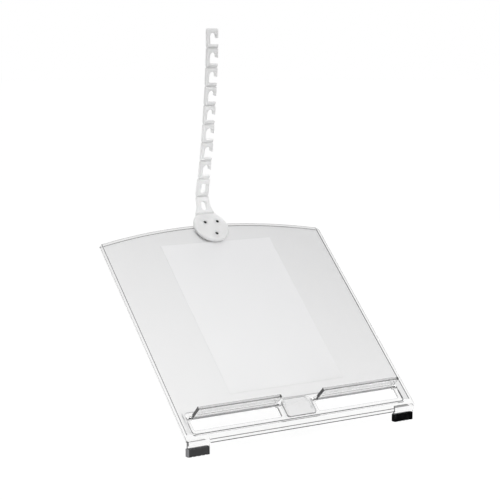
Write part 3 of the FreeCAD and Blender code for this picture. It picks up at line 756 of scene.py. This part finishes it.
@dataclass(frozen=True)
class Steel:
    """Plain carbon steel, drawn or blackened."""

    # drawn, a dull grey gleam with fine marks; blackened, a soft dark sheen
    name: str
    colour: str
    shade: str
    roughness: float
    # the drawing marks, drawn coarser than they are
    grain: float = 0.25 * MM
    grain_height: float = 0.02 * MM
    grain_strength: float = 0.2
    grain_detail: float = 3.0

    def material(self) -> Material:
        """Make the finish.

        Returns:
            The material.
        """
        material, tree, output = new_tree(self.name)
        place = add_node(tree, "ShaderNodeTexCoord")
        grain = add_node(tree, "ShaderNodeTexNoise", {"Scale": 1 / self.grain, "Detail": self.grain_detail},
                         {"Vector": place.outputs["Object"]})
        bump = add_node(tree, "ShaderNodeBump", {
            "Strength": self.grain_strength, "Distance": self.grain_height}, {"Height": grain.outputs["Fac"]})
        surface = add_node(tree, "ShaderNodeBsdfPrincipled", {
            "Roughness": self.roughness, "Metallic": 1.0}, {
            "Base Color": layered(tree, self.colour, [(grain.outputs["Fac"], self.shade)]),
            "Normal": bump.outputs["Normal"]})
        tree.links.new(surface.outputs["BSDF"], output.inputs["Surface"])
        return material


@dataclass(frozen=True)
class Finishes:
    """Every finish of the holder, each made once."""

    plate: Material
    lip: Material
    badge: Material
    film: Material
    milky: Material
    rubber: Material
    pins: Material
    screws: Material

    @classmethod
    def make(cls, axes: PlateFrame) -> "Finishes":
        """Make them all.

        Args:
            axes: The leaning plate's axes.

        Returns:
            The finishes.
        """
        return cls(
            plate=PlateStyrene(Zone.PLATE, "f8f8f8", 0.7).material(axes),
            lip=LipStyrene(Zone.LIP, "fafafa", 10.0, polish=0.12).material(axes),
            badge=BadgeStyrene(Zone.BADGE, "ffffff", 0.5).material(axes),
            film=SatinFilm().material(axes),
            milky=MilkyPolypropylene().material(),
            rubber=MouldedRubber().material(),
            pins=Steel("drawn_steel", "5c5c5e", "4a4a4c", 0.35).material(),
            screws=Steel("blackened_steel", "2a2a2c", "1e1e20", 0.42).material())


@dataclass
class SubAssembly:
    """Pieces that are put together before they meet the rest of the holder."""

    finishes: Finishes

    def chosen(self) -> dict[str, Material]:
        """Say which finish each piece wears, by the start of its node's name."""
        return {}

    def dress(self, nodes: dict[str, bpy.types.Object]) -> None:
        """Give each piece its finish, by the longest start that its node's name has.

        Args:
            nodes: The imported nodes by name.
        """
        chosen = self.chosen()
        for name, node in nodes.items():
            starts = [start for start in chosen if name.startswith(start)]
            if starts:
                finish = chosen[max(starts, key=len)]
                node.data.materials.clear()
                node.data.materials.append(finish)
                log.info("%s wears %s", name, finish.name)


@dataclass
class LeaningPlate(SubAssembly):
    """The clear plate with its page field, centre plate and rubber feet."""

    def chosen(self) -> dict[str, Material]:
        """Say which finish each piece wears, by the start of its node's name."""
        return {"panel": self.finishes.plate, "centre_plate": self.finishes.badge,
                "reading_field": self.finishes.film, "left_foot": self.finishes.rubber,
                "right_foot": self.finishes.rubber}


@dataclass
class FoldingLips(SubAssembly):
    """The two lips that hold a document's lower edge, on their steel pins."""

    def chosen(self) -> dict[str, Material]:
        """Say which finish each piece wears, by the start of its node's name."""
        return {"left_lip": self.finishes.lip, "right_lip": self.finishes.lip,
                "left_lip_outer": self.finishes.pins, "left_lip_inner": self.finishes.pins,
                "right_lip_outer": self.finishes.pins, "right_lip_inner": self.finishes.pins}


@dataclass
class HangerStrap(SubAssembly):
    """The notched strap with its swivelling hub, retainer, washer and screws."""

    def chosen(self) -> dict[str, Material]:
        """Say which finish each piece wears, by the start of its node's name."""
        return {"strap": self.finishes.milky, "hub_retainer": self.finishes.milky,
                "hub_washer": self.finishes.film, "hub_screws": self.finishes.screws}


@dataclass(frozen=True)
class Lamp:
    """A soft square lamp."""

    name: str
    place: tuple[float, float, float]
    size: float
    power: float

    def build(self, aim: Vector) -> None:
        """Hang the lamp.

        Args:
            aim: The point that it faces.
        """
        data = bpy.data.lights.new(self.name, "AREA")
        data.energy, data.size = self.power, self.size
        lamp = bpy.data.objects.new(self.name, data)
        lamp.location = self.place
        lamp.rotation_euler = (aim - Vector(self.place)).to_track_quat("-Z", "Y").to_euler()
        bpy.context.scene.collection.objects.link(lamp)


@dataclass(frozen=True)
class Camera:
    """The camera at the photograph's viewing angle. Sizes in the picture are pixels."""

    place: tuple[float, float, float] = (-1.17630, -2.00078, -0.02898)
    azimuth: float = 32.2
    elevation: float = 10.9
    focal_px: float = 1396.0
    frame_px: float = 500.0
    axis_px: tuple[float, float] = (256.0, 323.7)
    sensor: float = 36.0
    far_end: float = 100.0

    def build(self) -> None:
        """Set the camera up."""
        data = bpy.data.cameras.new("camera")
        data.sensor_width = self.sensor
        data.lens = self.sensor * self.focal_px / self.frame_px
        data.shift_x = (self.frame_px / 2 - self.axis_px[0]) / self.frame_px
        data.shift_y = (self.axis_px[1] - self.frame_px / 2) / self.frame_px
        data.clip_end = self.far_end
        camera = bpy.data.objects.new("camera", data)
        camera.location = self.place
        camera.rotation_euler = (math.radians(90 - self.elevation), 0.0, math.radians(-self.azimuth))
        bpy.context.scene.collection.objects.link(camera)
        bpy.context.scene.camera = camera


@dataclass(frozen=True)
class Studio:
    """A white floor, a white surround, soft lamps and the camera."""

    floor_reach: float = 30.0
    floor_sides: int = 64
    floor_gap: float = 0.2 * MM
    floor_colour: str = "f7f7f7"
    surround_share: float = 0.86
    surround_light: float = 1.06
    fill: float = 0.72
    white: str = "ffffff"
    lamps: tuple[Lamp, ...] = (Lamp(name="key", place=(-1.6, -2.2, 1.8), size=1.6, power=42.0),
                               Lamp(name="rim", place=(1.8, 1.4, 1.2), size=1.2, power=14.0))
    camera: Camera = Camera()

    def white_ray(self, tree: Tree) -> Socket:
        """Add nodes that tell the rays that show the surround from those that light the object.

        Args:
            tree: The tree that gets the nodes.

        Returns:
            The socket that is 1 on a ray that shows it.
        """
        path = add_node(tree, "ShaderNodeLightPath")
        return fold(tree, "MAXIMUM", [path.outputs[name] for name in (
            "Is Camera Ray", "Is Glossy Ray", "Is Transmission Ray")])

    def build_world(self) -> None:
        """Make the white surround."""
        world = bpy.data.worlds.new("studio")
        bpy.context.scene.world = world
        world.use_nodes = True
        tree = world.node_tree
        tree.nodes.clear()
        level = add_node(tree, "ShaderNodeMapRange", {"To Min": self.fill, "To Max": 1.0},
                         {"Value": self.white_ray(tree)})
        light = add_node(tree, "ShaderNodeBackground", {"Color": linear(self.white)},
                         {"Strength": level.outputs["Result"]})
        add_node(tree, "ShaderNodeOutputWorld", links={"Surface": light.outputs["Background"]})

    def build_floor(self, level: float) -> None:
        """Make the desk top that the feet rest on.

        Args:
            level: The height of the feet's soles.
        """
        mesh = bpy.data.meshes.new("floor")
        made = bmesh.new()
        bmesh.ops.create_circle(made, cap_ends=True, radius=self.floor_reach, segments=self.floor_sides)
        bmesh.ops.translate(made, verts=made.verts, vec=Vector((0.0, 0.0, level - self.floor_gap)))
        made.to_mesh(mesh)
        made.free()
        floor = bpy.data.objects.new("floor", mesh)
        bpy.context.scene.collection.objects.link(floor)
        # matt white paper, which keeps a soft shadow
        material, tree, output = new_tree("floor_paper")
        share = add_node(tree, "ShaderNodeMath", {"operation": "MULTIPLY", 1: self.surround_share},
                         {0: self.white_ray(tree)})
        paper = add_node(tree, "ShaderNodeBsdfDiffuse", {"Color": linear(self.floor_colour)})
        glow = add_node(tree, "ShaderNodeEmission", {
            "Color": linear(self.white), "Strength": self.surround_light})
        mix = add_node(tree, "ShaderNodeMixShader", links={
            0: share.outputs["Value"], 1: paper.outputs["BSDF"], 2: glow.outputs["Emission"]})
        tree.links.new(mix.outputs["Shader"], output.inputs["Surface"])
        mesh.materials.append(material)
        floor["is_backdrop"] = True

    def build(self, low: Vector, high: Vector) -> None:
        """Make the whole studio about the object.

        Args:
            low: The lowest corner of the object's box.
            high: The highest corner of the object's box.
        """
        self.build_world()
        self.build_floor(low.z)
        for lamp in self.lamps:
            lamp.build((low + high) / 2)
        self.camera.build()
        bpy.context.scene.view_settings.view_transform = "Standard"


def main() -> None:
    """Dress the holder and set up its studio."""
    low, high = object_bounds()
    finishes = Finishes.make(PlateFrame.from_joints(frame["joints"]))
    for part in (LeaningPlate(finishes), FoldingLips(finishes), HangerStrap(finishes)):
        part.dress(frame["nodes"])
    Studio().build(low, high)


if __name__ == "__main__":
    main()
